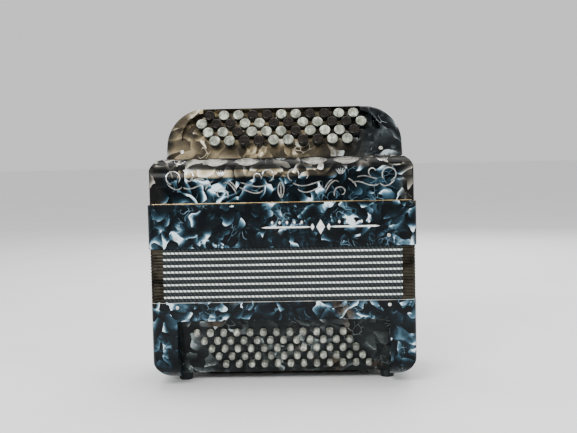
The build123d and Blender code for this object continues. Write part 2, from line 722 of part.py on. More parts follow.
def treble_lever(row):
    """One lever at X = 0: arm under the stem, hub on the axle, arm to the pallet."""
    side = LEVER_SIDE_STEP if row < 2 else -LEVER_SIDE_STEP
    axle = (AXLE_Y, AXLE_Z)
    contact_depth = STEM_REACH + 0.3 + LEVER_WIDTH / 2
    contact = treble_point(row * TREAD_STEP, -row * TREAD_DROP - contact_depth)
    pad_y = pallet_y(row)
    pad_base = TREBLE_SOUNDBOARD_Z + SOUNDBOARD + 0.1
    pallet_top = pad_base + PALLET_SIZE[2]
    lever = lever_bar(axle, contact, side) + lever_bar(axle, (pad_y, pallet_top - 1), side)
    half = LEVER_THICKNESS / 2
    lever += rod(4.0, (side - half, *axle), (side + half, *axle))
    pad_x, pad_depth = PALLET_SIZE[0] / 2, PALLET_SIZE[1] / 2
    lever += block(-pad_x, pad_x, pad_y - pad_depth, pad_y + pad_depth, pad_base, pallet_top)
    lever -= rod(AXLE_RADIUS + 0.06, (-6, *axle), (6, *axle))
    return lever


def treble_lever_row(row):
    """The levers of one row."""
    lever = treble_lever(row)
    return [Pos(place[0], 0, 0) * lever for place in treble_places(row)]


def treble_button():
    """One treble button: pearl cap on a dark body and a stem, pointing along Z."""
    body = Pos(0, 0, BUTTON_LIFT) * extrude(Circle(CAP_BODY_RADIUS), CAP_BODY)
    cap = Pos(0, 0, BUTTON_LIFT + CAP_BODY) * extrude(Circle(CAP_RADIUS), CAP_HEIGHT)
    cap = fillet(cap.edges().group_by(Axis.Z)[-1], 1.4)
    stem = Pos(0, 0, -STEM_REACH) * extrude(Circle(STEM_RADIUS), STEM_REACH + BUTTON_LIFT)
    return body + cap + stem


def treble_button_row(row):
    """One row of treble buttons."""
    return [TREBLE_PLANE * Pos(*place) * treble_button() for place in treble_places(row)]


def strap_eyelet(x, back, z):
    """Back plate with a standing lug, bored along X for a shoulder strap's hook."""
    plate = block(x - 9, x + 9, back, back + 1.5, z - 8, z + 8)
    centre_y = TREBLE_BACK + EYELET_REACH - 3.4
    lug = block(x - 2, x + 2, back + 1, centre_y, z - 3.4, z + 3.4)
    lug += rod(3.4, (x - 2, centre_y, z), (x + 2, centre_y, z))
    return plate + lug - rod(1.8, (x - 3, centre_y, z), (x + 3, centre_y, z))


def fixed_nodes():
    """Every node that has one place of its own."""
    bass_frame_z = BASS_TOP - FRAME_HEIGHT
    inset = WALL + 0.2
    treble_inset = WALL + 1.2
    top_of_bass = BASS_SOUNDBOARD_Z + SOUNDBOARD
    bass_reeds = (top_of_bass, top_of_bass + REED_BLOCK_HEIGHT, 4)
    treble_reeds = (TREBLE_SOUNDBOARD_Z, TREBLE_SOUNDBOARD_Z - REED_BLOCK_HEIGHT, 3)
    return {
        "bass_casing": [bass_casing()],
        "bass_button_board": [bass_button_board()],
        "bass_plunger_guide": [bass_plunger_guide()],
        "bass_end_cover": [bass_end_cover()],
        "bass_cover_screws": [round_head_screw(place) for place in COVER_SCREWS],
        "bass_feet": bass_feet(),
        "bass_strap": [bass_strap()],
        "bass_strap_brackets": bass_strap_brackets(),
        "bass_soundboard": [bass_soundboard()],
        "bass_reed_blocks": reed_blocks(BASS_BLOCK_Y, 192, *bass_reeds),
        "bass_reed_plates": reed_plates(BASS_BLOCK_Y, 192, *bass_reeds, 8),
        "bellows_frame_bass": [bellows_frame(
            BASS_WIDTH - 2 * inset, BASS_FRONT + inset, BASS_BACK - inset, bass_frame_z)],
        "bellows_pins_bass": bellows_pins(BASS_PINS),
        "strap_eyelet_bass": [strap_eyelet(-150, BASS_BACK, 70)],
        "air_button": [air_button()],
        "air_valve": [air_valve()],
        "strap_adjuster_wheel": [strap_adjuster_wheel()],
        "bellows_frame_treble": [bellows_frame(
            TREBLE_WIDTH - 2 * treble_inset, TREBLE_FRONT + treble_inset,
            TREBLE_BACK - treble_inset, TREBLE_BOTTOM)],
        "bellows_pins_treble": bellows_pins(TREBLE_PINS),
        "treble_casing": [treble_casing()],
        "grille_cover": [grille_cover()],
        "grille_mesh": [grille_mesh()],
        "grille_scrollwork": grille_scrollwork(),
        "fingerboard": [fingerboard()],
        "treble_screws": [round_head_screw(place) for place in GRILLE_SCREWS + BOARD_SCREWS],
        "treble_soundboard": [treble_soundboard()],
        "treble_reed_blocks": reed_blocks(TREBLE_BLOCK_Y, 242, *treble_reeds),
        "treble_reed_plates": reed_plates(TREBLE_BLOCK_Y, 242, *treble_reeds, 11),
        "lever_axle": [rod(
            AXLE_RADIUS, (BOARD_LEFT + WALL - 2.5, AXLE_Y, AXLE_Z),
            (BOARD_RIGHT - WALL + 2.5, AXLE_Y, AXLE_Z))],
        "strap_eyelets_treble": [
            strap_eyelet(x, TREBLE_BACK, TREBLE_BOTTOM + 38) for x in (-150, 120, 150)],
    }


def main():
    """Write every node's STEP file."""
    os.makedirs("parts", exist_ok=True)
    for name, pieces in fixed_nodes().items():
        save(name, pieces)
    for index in range(FOLD_COUNT):
        save(f"bellows_fold_{index + 1:02d}", bellows_fold(index))
    for row in range(len(TREBLE_ROWS)):
        number = len(TREBLE_ROWS) - row
        save(f"treble_buttons_row_{number}", treble_button_row(row))
        save(f"treble_levers_row_{number}", treble_lever_row(row))
    for row in range(BASS_ROWS):
        save(f"bass_buttons_row_{row + 1}", bass_button_row(row))


main()
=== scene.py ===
import json
import math

import bmesh
import bpy
from mathutils import Matrix, Vector


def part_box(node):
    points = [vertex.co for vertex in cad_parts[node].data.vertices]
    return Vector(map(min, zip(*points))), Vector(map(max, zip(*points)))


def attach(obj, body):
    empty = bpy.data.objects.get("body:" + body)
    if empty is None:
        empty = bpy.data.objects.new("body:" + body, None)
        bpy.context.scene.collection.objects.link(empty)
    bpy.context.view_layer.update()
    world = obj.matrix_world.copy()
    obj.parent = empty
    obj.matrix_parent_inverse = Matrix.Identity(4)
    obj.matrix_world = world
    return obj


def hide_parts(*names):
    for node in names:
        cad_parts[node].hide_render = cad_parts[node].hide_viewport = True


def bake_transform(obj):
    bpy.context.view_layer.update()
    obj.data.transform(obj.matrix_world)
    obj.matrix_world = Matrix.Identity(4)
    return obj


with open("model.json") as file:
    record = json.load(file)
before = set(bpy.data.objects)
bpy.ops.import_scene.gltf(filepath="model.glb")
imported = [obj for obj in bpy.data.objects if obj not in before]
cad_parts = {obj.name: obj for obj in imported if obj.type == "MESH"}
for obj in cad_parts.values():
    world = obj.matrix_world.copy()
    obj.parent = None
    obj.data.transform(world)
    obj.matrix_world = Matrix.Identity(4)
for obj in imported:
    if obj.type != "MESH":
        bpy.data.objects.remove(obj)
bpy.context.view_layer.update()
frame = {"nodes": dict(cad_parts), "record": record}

MM = 0.001
NODES = frame["nodes"]
SLOT_OF = {row["node"]: row["material_slot"] for row in frame["record"]["subparts"]}


# ---- Materials ----------------------------------------------------------------------

class Shader:
    """One procedural material: short calls for the nodes that it is built from."""

    def __init__(self, name):
        self.material = bpy.data.materials.new(name)
        self.material.use_nodes = True
        self.tree = self.material.node_tree
        self.tree.nodes.clear()
        output = self.node("ShaderNodeOutputMaterial")
        self.surface = self.node("ShaderNodeBsdfPrincipled")
        self.tree.links.new(self.surface.outputs[0], output.inputs[0])
        self.place = self.node("ShaderNodeTexCoord").outputs["Object"]

    def put(self, socket, value):
        if isinstance(value, bpy.types.NodeSocket):
            self.tree.links.new(value, socket)
        else:
            socket.default_value = value

    def node(self, kind, inputs=None, **settings):
        made = self.tree.nodes.new(kind)
        for key, value in settings.items():
            setattr(made, key, value)
        for key, value in (inputs or {}).items():
            self.put(made.inputs[key], value)
        return made

    def math(self, operation, a, b=0.0, clamp=False):
        made = self.node("ShaderNodeMath", {0: a, 1: b}, operation=operation, use_clamp=clamp)
        return made.outputs[0]

    def vector(self, operation, a, b):
        key = 3 if operation == "SCALE" else 1
        made = self.node("ShaderNodeVectorMath", {0: a, key: b}, operation=operation)
        return made.outputs[1 if operation == "DOT_PRODUCT" else 0]

    def stretch(self, x, y, z):
        return self.vector("MULTIPLY", self.place, (x, y, z))

    def noise(self, scale, detail=3.0, vector=None, output="Fac", rough=0.5):
        made = self.node("ShaderNodeTexNoise", {
            "Vector": vector or self.place, "Scale": scale, "Detail": detail, "Roughness": rough})
        return made.outputs[output]

    def range(self, value, low, high, to_low=0.0, to_high=1.0, smooth=True):
        made = self.node("ShaderNodeMapRange", {
            "Value": value, "From Min": low, "From Max": high,
            "To Min": to_low, "To Max": to_high},
            interpolation_type="SMOOTHSTEP" if smooth else "LINEAR")
        return made.outputs[0]

    def ramp(self, value, stops):
        made = self.node("ShaderNodeValToRGB", {"Fac": value})
        elements = made.color_ramp.elements
        while len(elements) < len(stops):
            elements.new(0.5)
        for element, (position, colour) in zip(elements, stops):
            element.position = position
            element.color = (*colour, 1.0)
        return made.outputs["Color"]

    def mix(self, factor, a, b):
        made = self.node("ShaderNodeMix", data_type="RGBA")
        for index, value in ((0, factor), (6, a), (7, b)):
            if index and not isinstance(value, bpy.types.NodeSocket):
                value = (*value, 1.0)
            self.put(made.inputs[index], value)
        return made.outputs[2]

    def split(self):
        return self.node("ShaderNodeSeparateXYZ", {0: self.place}).outputs

    def done(self, colour, rough, bump=None, depth=0.0001, strength=0.5, **constants):
        self.put(self.surface.inputs["Base Color"], colour)
        self.put(self.surface.inputs["Roughness"], rough)
        if bump is not None:
            made = self.node("ShaderNodeBump", {
                "Height": bump, "Distance": depth, "Strength": strength})
            self.put(self.surface.inputs["Normal"], made.outputs[0])
        for key, value in constants.items():
            self.surface.inputs[key.replace("_", " ")].default_value = value
        return self.material


# Cord on the bellows: the length of one strand along the edge, and its rise across it
STRAND_PITCH, STRAND_RISE = 5.2 * MM, 8.5 * MM

NAVY = [
    (0.00, (0.0012, 0.0022, 0.0032)), (0.38, (0.0028, 0.0065, 0.0090)),
    (0.54, (0.0070, 0.0180, 0.0270)), (0.68, (0.0210, 0.0500, 0.0720)),
    (0.81, (0.0620, 0.1250, 0.1700)), (0.92, (0.2100, 0.3300, 0.4100)),
    (0.99, (0.6000, 0.7400, 0.8100)),
]
DUSK = [
    (0.00, (0.0020, 0.0026, 0.0032)), (0.42, (0.0060, 0.0078, 0.0090)),
    (0.60, (0.0170, 0.0210, 0.0230)), (0.78, (0.0600, 0.0720, 0.0780)),
    (0.95, (0.3200, 0.3700, 0.3900)),
]
GREY = [
    (0.00, (0.0055, 0.0068, 0.0072)), (0.42, (0.0130, 0.0160, 0.0170)),
    (0.62, (0.0300, 0.0360, 0.0370)), (0.82, (0.0800, 0.0950, 0.0970)),
    (0.97, (0.3600, 0.4200, 0.4300)),
]
# Gold palette: painted warm reflection, used on the treads and along the grille cover
WARM_REFLECTION_GOLD = [
    (0.00, (0.0350, 0.0290, 0.0200)), (0.35, (0.1050, 0.0840, 0.0520)),
    (0.55, (0.2300, 0.1850, 0.1080)), (0.75, (0.4300, 0.3500, 0.2100)),
    (0.92, (0.7600, 0.7000, 0.5500)),
]
# Olive-grey palette: painted reflection on the grille cover's rounded top and its two ends
GRAZING_REFLECTION_OLIVE = [
    (0.00, (0.0060, 0.0062, 0.0060)), (0.45, (0.0190, 0.0185, 0.0165)),
    (0.65, (0.0480, 0.0450, 0.0390)), (0.85, (0.1300, 0.1200, 0.1000)),
    (1.00, (0.3300, 0.3100, 0.2700)),
]


def flakes(shader, size, seed, contrast=1.0):
    """Brightness of marbled celluloid: curled flakes, each shaded from one side to the other."""
    moved = shader.vector("ADD", shader.place, (seed, seed * 0.7, seed * 0.3))
    wobble = shader.noise(0.45 / size, 1.5, moved, "Color", 0.5)
    wobble = shader.vector("SUBTRACT", wobble, (0.5, 0.5, 0.5))
    bent = shader.vector("SCALE", moved, 1.0 / size)
    bent = shader.vector("ADD", bent, shader.vector("SCALE", wobble, 3.2))
    cells = shader.node("ShaderNodeTexVoronoi", {"Vector": bent, "Scale": 1.0})
    tilt = shader.vector("SUBTRACT", cells.outputs["Color"], (0.5, 0.5, 0.5))
    away = shader.vector("SUBTRACT", bent, cells.outputs["Position"])
    slope = shader.vector("DOT_PRODUCT", away, tilt)
    patch = shader.noise(0.30 / size, 2.0, moved)
    value = shader.math("MULTIPLY_ADD", slope, 2.5 * contrast)
    shader.put(value.node.inputs[2], shader.range(patch, 0.3, 0.7, 0.20, 0.60))
    return value, bent


def hairlines(shader, bent, width):
    """Fine bright lines along some of the flakes' edges."""
    edges = shader.node(
        "ShaderNodeTexVoronoi", {"Vector": bent, "Scale": 1.35}, feature="DISTANCE_TO_EDGE")
    line = shader.range(edges.outputs["Distance"], 0.0, width, 1.0, 0.0)
    some = shader.range(shader.noise(38.0, 2.0), 0.54, 0.62)
    return shader.math("MULTIPLY", line, some)


def celluloid(name, stops, size=0.015, seed=0.0, second=None, where=None, contrast=1.0):
    """Polished marbled celluloid, with a second palette where the given factor is high."""
    s = Shader(name)
    value, bent = flakes(s, size, seed, contrast)
    small, _ = flakes(s, size * 0.42, seed + 3.1, contrast * 0.8)
    value = s.mix(s.range(s.noise(30.0, 2.0), 0.50, 0.68, 0.12, 0.55), value, small)
    lit = s.math("MAXIMUM", value, s.math("MULTIPLY", hairlines(s, bent, 0.035), 0.93))
    colour = s.ramp(lit, stops)
    if second:
        colour = s.mix(where(s), colour, s.ramp(lit, second))
    warm = s.range(s.noise(21.0, 3.0), 0.60, 0.74, 0.0, 0.45)
    brown = s.ramp(value, [(0.2, (0.012, 0.008, 0.005)), (0.8, (0.26, 0.17, 0.09))])
    colour = s.mix(warm, colour, brown)
    rough = s.range(s.noise(160.0, 4.0), 0.35, 0.7, 0.10, 0.22)
    ripple = s.noise(22.0, 2.0)
    return s.done(colour, rough, ripple, 0.0012, 0.16, Specular_IOR_Level=0.10,
                  Coat_Weight=0.06, Coat_Roughness=0.05)


def board_warm_reflection(s):
    """Where the stepped board gets a painted warm reflection: its front, and most on the left."""
    x, y, _ = s.split()
    left = s.range(x, -0.02, 0.125, 1.0, 0.0)
    front = s.range(y, 0.004, 0.030, 1.0, 0.0)
    rim = s.range(s.math("ABSOLUTE", x), 0.139, 0.150, 1.0, 0.25)
    patch = s.range(s.noise(17.0, 2.0), 0.42, 0.60, 0.55, 1.0)
    return s.math("MULTIPLY", s.math("MULTIPLY", left, front), s.math("MULTIPLY", rim, patch))


def cover_grazing_reflection(s):
    """Where the grille cover gets a painted olive reflection: over its rounded top and round its
    two ends.
    """
    x, _, z = s.split()
    top = s.range(z, 0.2835, 0.2885)
    ends = s.range(s.math("ABSOLUTE", x), 0.145, 0.163)
    return s.math("MAXIMUM", top, ends)


def cover_material():
    """Marbled celluloid with a painted olive reflection over its top and ends, and one long
    painted warm reflection below the slots.
    """
    s = Shader("cover_celluloid")
    value, bent = flakes(s, 0.016, 4.7)
    lit = s.math("MAXIMUM", value, s.math("MULTIPLY", hairlines(s, bent, 0.035), 0.9))
    # painted reflection: the olive-grey palette over the cover's rounded top and round its ends
    colour = s.mix(cover_grazing_reflection(s), s.ramp(lit, NAVY), s.ramp(lit, GRAZING_REFLECTION_OLIVE))
    x, _, z = s.split()
    # painted warm reflection: a gold band along the cover just below its rounded top, below the
    # slots
    wavy = s.math("ADD", z, s.math("MULTIPLY", s.noise(30.0, 2.0), 0.004))
    low = s.range(wavy, 0.2765, 0.2800)
    high = s.range(wavy, 0.2855, 0.2885, 1.0, 0.0)
    across = s.math("MULTIPLY", s.range(x, -0.148, -0.128), s.range(x, 0.045, 0.075, 1.0, 0.0))
    warm_reflection_band = s.math("MULTIPLY", s.math("MULTIPLY", low, high), across)
    warm_reflection_band = s.math("MULTIPLY", warm_reflection_band, s.range(value, 0.05, 0.4, 0.55, 0.95))
    colour = s.mix(warm_reflection_band, colour, s.ramp(s.math("ADD", value, 0.12), WARM_REFLECTION_GOLD))
    rough = s.range(s.noise(160.0, 4.0), 0.35, 0.7, 0.10, 0.22)
    return s.done(colour, rough, s.noise(22.0, 2.0), 0.0012, 0.16, Specular_IOR_Level=0.06)


def pearl(name, light, dark, vein):
    """Pearl plastic with faint growth lines."""
    s = Shader(name)
    band = s.noise(230.0, 5.0, s.stretch(1.0, 0.3, 0.5), rough=0.62)
    line = s.range(band, 0.44, 0.58)
    cloud = s.range(s.noise(85.0, 2.0), 0.38, 0.64)
    colour = s.mix(line, light, vein)
    colour = s.mix(s.math("MULTIPLY", cloud, 0.75), colour, dark)
    return s.done(colour, s.range(band, 0.3, 0.7, 0.14, 0.30), band, 0.00006, 0.35,
                  Coat_Weight=0.5, Coat_Roughness=0.06)


def plastic(name, dark, light, rough=0.2, coat=0.4, scale=260.0):
    """Moulded plastic with a faint mottle and fine handling marks."""
    s = Shader(name)
    mottle = s.noise(scale, 4.0)
    colour = s.mix(s.range(mottle, 0.35, 0.7), dark, light)
    marks = s.noise(1400.0, 2.0, s.stretch(1.0, 0.2, 1.0))
    return s.done(colour, s.range(marks, 0.3, 0.7, rough, rough + 0.16), mottle, 0.00005, 0.3,
                  Specular_IOR_Level=0.18, Coat_Weight=coat, Coat_Roughness=0.08)


def metal(name, dark, light, rough=0.22, axis=(1.0, 14.0, 14.0), scale=160.0):
    """Plated or stamped metal with fine brushing and slight tarnish."""
    s = Shader(name)
    brushed = s.noise(scale, 4.0, s.stretch(*axis), rough=0.6)
    tarnish = s.range(s.noise(60.0, 4.0), 0.40, 0.72)
    colour = s.mix(tarnish, light, dark)
    return s.done(colour, s.range(brushed, 0.3, 0.7, rough, rough + 0.22), brushed, 0.00003, 0.35,
                  Metallic=1.0)


def cloth(name, dark, light, rough=0.85, threads=900.0):
    """Closely woven tape: two sets of threads crossing, slightly uneven."""
    s = Shader(name)
    along = s.node("ShaderNodeTexWave", {
        "Vector": s.stretch(1.0, 1.0, 0.0), "Scale": threads, "Distortion": 0.8},
        bands_direction="DIAGONAL")
    across = s.node("ShaderNodeTexWave", {"Vector": s.place, "Scale": threads, "Distortion": 0.8},
                    bands_direction="Z")
    weave = s.math("MULTIPLY", along.outputs["Fac"], across.outputs["Fac"])
    worn = s.range(s.noise(90.0, 4.0), 0.35, 0.75)
    colour = s.mix(s.math("MULTIPLY", weave, worn), dark, light)
    return s.done(colour, rough, weave, 0.00012, 0.5, Sheen_Weight=0.12)


def rope(name, dark, light):
    """Twisted strands of cord, with fibres that run along each strand and painted shade in the
    grooves between the strands.
    """
    s = Shader(name)
    x, y, z = s.split()
    run = s.math("ADD", x, y)
    turn = s.math("ADD", s.math("DIVIDE", run, STRAND_PITCH), s.math("DIVIDE", z, STRAND_RISE))
    groove_shade_mask = s.math("ABSOLUTE", s.math("COSINE", s.math("MULTIPLY", turn, math.pi)))
    lean = s.math("ADD", run, s.math("MULTIPLY", z, 1.3))
    along = s.node("ShaderNodeCombineXYZ", {0: lean, 1: z, 2: 0.0}).outputs[0]
    fibres = s.noise(900.0, 3.0, along)
    soil = s.range(s.noise(45.0, 4.0), 0.40, 0.75)
    colour = s.mix(s.math("MULTIPLY", soil, 0.35), light, dark)
    colour = s.mix(s.range(fibres, 0.55, 0.75, 0.0, 0.5), colour, dark)
    # painted shade: the dark colour laid in the grooves between the strands, where the cord's
    # surface sinks
    colour = s.mix(s.range(groove_shade_mask, 0.42, 0.80), dark, colour)
    return s.done(colour, 0.75, fibres, 0.0001, 0.5, Specular_IOR_Level=0.2)


def leather(name, dark, light):
    """Grained leather, lighter on the raised grain."""
    s = Shader(name)
    grain = s.node("ShaderNodeTexVoronoi", {"Vector": s.place, "Scale": 900.0},
                   feature="DISTANCE_TO_EDGE").outputs["Distance"]
    raised = s.range(grain, 0.0, 0.25)
    worn = s.range(s.noise(40.0, 4.0), 0.35, 0.7)
    colour = s.mix(s.math("MULTIPLY", raised, worn), dark, light)
    return s.done(colour, s.range(worn, 0.0, 1.0, 0.62, 0.42), raised, 0.00015, 0.6)


def timber(name):
    """Sanded softwood with its grain along the length."""
    s = Shader(name)
    fibre = s.noise(30.0, 5.0, s.stretch(0.6, 12.0, 12.0), rough=0.6)
    ring = s.node("ShaderNodeTexWave", {
        "Vector": s.stretch(0.4, 1.0, 1.0), "Scale": 42.0, "Distortion": 3.0, "Detail": 2.0})
    tone = s.math("MULTIPLY", ring.outputs["Fac"], fibre)
    colour = s.ramp(tone, [(0.1, (0.66, 0.49, 0.29)), (0.6, (0.50, 0.33, 0.17))])
    return s.done(colour, s.range(fibre, 0.3, 0.7, 0.5, 0.7), fibre, 0.0002, 0.5)


def woven_metal(name):
    """Backing gauze behind the grille wires: dark, with fine crossing threads."""
    s = Shader(name)
    a = s.node("ShaderNodeTexWave", {"Vector": s.place, "Scale": 420.0}, bands_direction="X")
    b = s.node("ShaderNodeTexWave", {"Vector": s.place, "Scale": 420.0}, bands_direction="Y")
    cross = s.math("MAXIMUM", a.outputs["Fac"], b.outputs["Fac"])
    colour = s.mix(s.range(cross, 0.6, 0.95), (0.05, 0.05, 0.045), (0.46, 0.45, 0.40))
    return s.done(colour, 0.5, cross, 0.0003, 0.6, Metallic=0.6)


def crystal(name):
    """Foil-backed cut stones: bright, clear and very glossy."""
    s = Shader(name)
    fire = s.noise(650.0, 1.0, output="Color")
    spark = s.range(s.noise(420.0, 2.0), 0.42, 0.60)
    colour = s.mix(spark, (0.10, 0.12, 0.13), (0.78, 0.82, 0.84))
    colour = s.mix(0.18, colour, fire)
    return s.done(colour, s.range(s.noise(300.0), 0.3, 0.7, 0.03, 0.10), None, Metallic=0.9,
                  Coat_Weight=0.3, Coat_Roughness=0.02)


def paper_floor(name):
    """Plain pale studio floor."""
    s = Shader(name)
    tone = s.range(s.noise(6.0, 4.0), 0.3, 0.7)
    return s.done(s.mix(tone, (0.86, 0.86, 0.86), (0.89, 0.89, 0.885)), 0.75)


M_NAVY = celluloid("navy_celluloid", NAVY)
M_BASS = celluloid("bass_celluloid", NAVY, 0.016, 7.3, contrast=0.92)
M_BOARD = celluloid("board_celluloid", GREY, 0.020, 2.2, contrast=0.7)
# the gold second palette on the treads is a painted warm reflection, strongest at the front and on
# the left
M_TREADS = celluloid("tread_celluloid", DUSK, 0.021, 5.9, WARM_REFLECTION_GOLD, board_warm_reflection, 0.8)
M_COVER = cover_material()
M_PEARL = pearl("pearl_caps", (0.21, 0.225, 0.17), (0.07, 0.08, 0.06), (0.50, 0.53, 0.44))
# a darker copy of the pearl caps: painted shade for the buttons down in the bass recess
M_BASS_PEARL_SHADED = pearl("bass_pearl_caps_recess_shade", (0.19, 0.195, 0.165), (0.065, 0.07, 0.06),
                     (0.47, 0.49, 0.42))
M_BLACK = plastic("black_caps", (0.003, 0.0025, 0.002), (0.016, 0.012, 0.009), 0.12, 0.05)
M_BODY = plastic("button_bodies", (0.002, 0.004, 0.006), (0.008, 0.015, 0.020), 0.14, 0.10)
M_SATIN = plastic("satin_black", (0.010, 0.010, 0.011), (0.028, 0.028, 0.030), 0.34, 0.1)
M_STEEL = metal("nickel", (0.40, 0.38, 0.32), (0.72, 0.70, 0.64))
M_CORNER = metal("corner_metal", (0.006, 0.0055, 0.0045), (0.042, 0.037, 0.028), 0.30,
                 (9.0, 9.0, 1.0))
M_BRASS = metal("brass_trim", (0.22, 0.14, 0.06), (0.62, 0.45, 0.22), 0.2, (1.0, 9.0, 9.0))
M_SILVER = metal("silver_trim", (0.22, 0.22, 0.20), (0.58, 0.58, 0.55), 0.16)
M_LEVER = metal("lever_metal", (0.42, 0.42, 0.42), (0.74, 0.74, 0.75), 0.3)
M_REED = metal("reed_metal", (0.50, 0.50, 0.50), (0.80, 0.80, 0.82), 0.3, (14.0, 1.0, 14.0))
M_TAPE = cloth("black_tape", (0.003, 0.004, 0.005), (0.030, 0.036, 0.036))
M_GUSSET = cloth("gusset_cloth", (0.006, 0.006, 0.007), (0.035, 0.035, 0.036), 0.9, 600.0)
M_ROPE_WHITE = rope("white_cord", (0.16, 0.19, 0.18), (0.80, 0.86, 0.82))
M_ROPE_DARK = rope("dark_cord", (0.002, 0.003, 0.004), (0.022, 0.030, 0.032))
M_LEATHER = leather("strap_leather", (0.006, 0.005, 0.004), (0.040, 0.030, 0.022))
M_THREAD = cloth("strap_thread", (0.10, 0.09, 0.07), (0.42, 0.38, 0.30), 0.8, 1500.0)
M_RUBBER = plastic("foot_rubber", (0.006, 0.008, 0.010), (0.022, 0.026, 0.028), 0.55, 0.0, 500.0)
M_WOOD = timber("sanded_spruce")
M_GAUZE = woven_metal("grille_gauze")
M_CRYSTAL = crystal("cut_stones")
M_IVORY = plastic("white_binding", (0.60, 0.62, 0.60), (0.84, 0.86, 0.83), 0.18, 0.5)

BY_SLOT = {
    "pearloid": M_NAVY, "fingerboard_pearloid": M_TREADS, "bellows_cloth": M_TAPE,
    "pearl_button": M_PEARL, "bass_pearl": M_BASS_PEARL_SHADED, "bare_wood": M_WOOD,
    "reed_metal": M_REED, "bright_steel": M_STEEL, "silver_trim": M_SILVER, "mesh": M_GAUZE,
    "rubber_foot": M_RUBBER, "strap_leather": M_LEATHER, "lever_metal": M_LEVER,
    "black_plastic": M_SATIN,
}
BY_NODE = {
    "bass_casing": M_BASS, "bass_end_cover": M_BASS, "bass_button_board": M_BOARD,
    "grille_cover": M_COVER,
}
for node_name, node_object in NODES.items():
    node_object.data.materials.clear()
    node_object.data.materials.append(BY_NODE.get(node_name, BY_SLOT[SLOT_OF[node_name]]))


# ---- Mesh helpers -------------------------------------------------------------------

class Build:
    """Collects vertices and faces, with a material for each face, and makes one piece."""

    def __init__(self):
        self.points, self.faces, self.marks = [], [], []

    def grid(self, rows, mark=0, wrap=False, close=False):
        """Faces between rows of points; wrap joins each row's ends, close the rows' ends."""
        start, width = len(self.points), len(rows[0])
        for row in rows:
            self.points.extend(row)
        down = len(rows) if close else len(rows) - 1
        across = width if wrap else width - 1
        for i in range(down):
            for j in range(across):
                a, b = start + i * width, start + (i + 1) % len(rows) * width
                k = (j + 1) % width
                self.faces.append((a + j, a + k, b + k, b + j))
                self.marks.append(mark(i, j) if callable(mark) else mark)

    def lathe(self, profile, place, mark=0, segments=32):
        """A turned shape: (radius, height) points about the place's Z axis."""
        rows = []
        for radius, height in profile:
            ring = []
            for k in range(segments):
                angle = 2 * math.pi * k / segments
                across = Vector((radius * math.cos(angle), radius * math.sin(angle), height))
                ring.append(place @ across)
            rows.append(ring)
        self.grid(rows, mark, wrap=True)
        base = len(self.points) - len(rows) * segments
        top = len(self.points) - segments
        self.faces.append(tuple(base + k for k in range(segments))[::-1])
        self.faces.append(tuple(top + k for k in range(segments)))
        end = (mark(0, 0), mark(len(rows) - 2, 0)) if callable(mark) else (mark, mark)
        self.marks.extend(end)

    def piece(self, name, body, materials, sharp=38.0, clean=False):
        mesh = bpy.data.meshes.new(name)
        mesh.from_pydata([tuple(p) for p in self.points], [], self.faces)
        for material in materials:
            mesh.materials.append(material)
        mesh.polygons.foreach_set("material_index", self.marks)
        work = bmesh.new()
        work.from_mesh(mesh)
        if clean:
            bmesh.ops.remove_doubles(work, verts=work.verts, dist=2e-6)
            bmesh.ops.dissolve_degenerate(work, edges=work.edges, dist=1e-6)
        bmesh.ops.recalc_face_normals(work, faces=work.faces)
        work.to_mesh(mesh)
        work.free()
        mesh.polygons.foreach_set("use_smooth", [True] * len(mesh.polygons))
        mesh.set_sharp_from_angle(angle=math.radians(sharp))
        made = bpy.data.objects.new(name, mesh)
        bpy.context.scene.collection.objects.link(made)
        if body:
            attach(made, body)
        return made


def axes_at(origin, x_axis, y_axis, z_axis):
    """A placing matrix from an origin and three axes."""
    place = Matrix((x_axis, y_axis, z_axis)).transposed().to_4x4()
    place.translation = origin
    return place


# ---- Treble buttons -----------------------------------------------------------------

TREBLE_OUT = Vector((0, -math.cos(math.radians(30)), math.sin(math.radians(30))))
TREBLE_UP = Vector((0, math.sin(math.radians(30)), math.cos(math.radians(30))))
TREBLE_PITCH = 19.4 * MM
CAP_RADIUS = 7.15 * MM
CAP_COLOURS = {1: "BWWBBWWBBWW", 2: "WBBWWBBWWBBW", 3: "WWBWWWBWWWB", 4: "WWBBWWBBWW"}
# (radius, depth below the top of the cap) in mm, from the stem's end to the cap's middle
STEM_END, BODY_START, CAP_START = 25.0, 10.2, 2.2
BUTTON_PROFILE = [
    (2.1, STEM_END), (2.5, STEM_END - 0.6), (2.5, BODY_START), (6.1, BODY_START), (6.6, 9.7),
    (6.7, 9.0), (6.7, 3.4), (6.45, 3.2), (6.45, 2.6), (6.7, 2.4), (6.7, CAP_START),
    (7.0, CAP_START), (7.15, 1.9), (7.15, 1.1), (7.0, 0.6), (6.6, 0.2), (6.1, 0.02), (5.6, 0.0),
    (4.6, 0.14), (3.0, 0.24), (1.2, 0.28),
]
CAP_FIRST = 10


def row_places(node, out, up, radius, pitch):
    """The middle of each button's top, read from a row's own mesh."""
    points = [v.co for v in NODES[node].data.vertices]
    low, high = min(p.x for p in points) + radius, max(p.x for p in points) - radius
    heights = [p.dot(up) for p in points]
    top = max(p.dot(out) for p in points)
    middle = (min(heights) + max(heights)) / 2
    count = round((high - low) / pitch) + 1
    return [Vector((low + i * (high - low) / (count - 1), 0, 0)) + up * middle + out * top
            for i in range(count)]


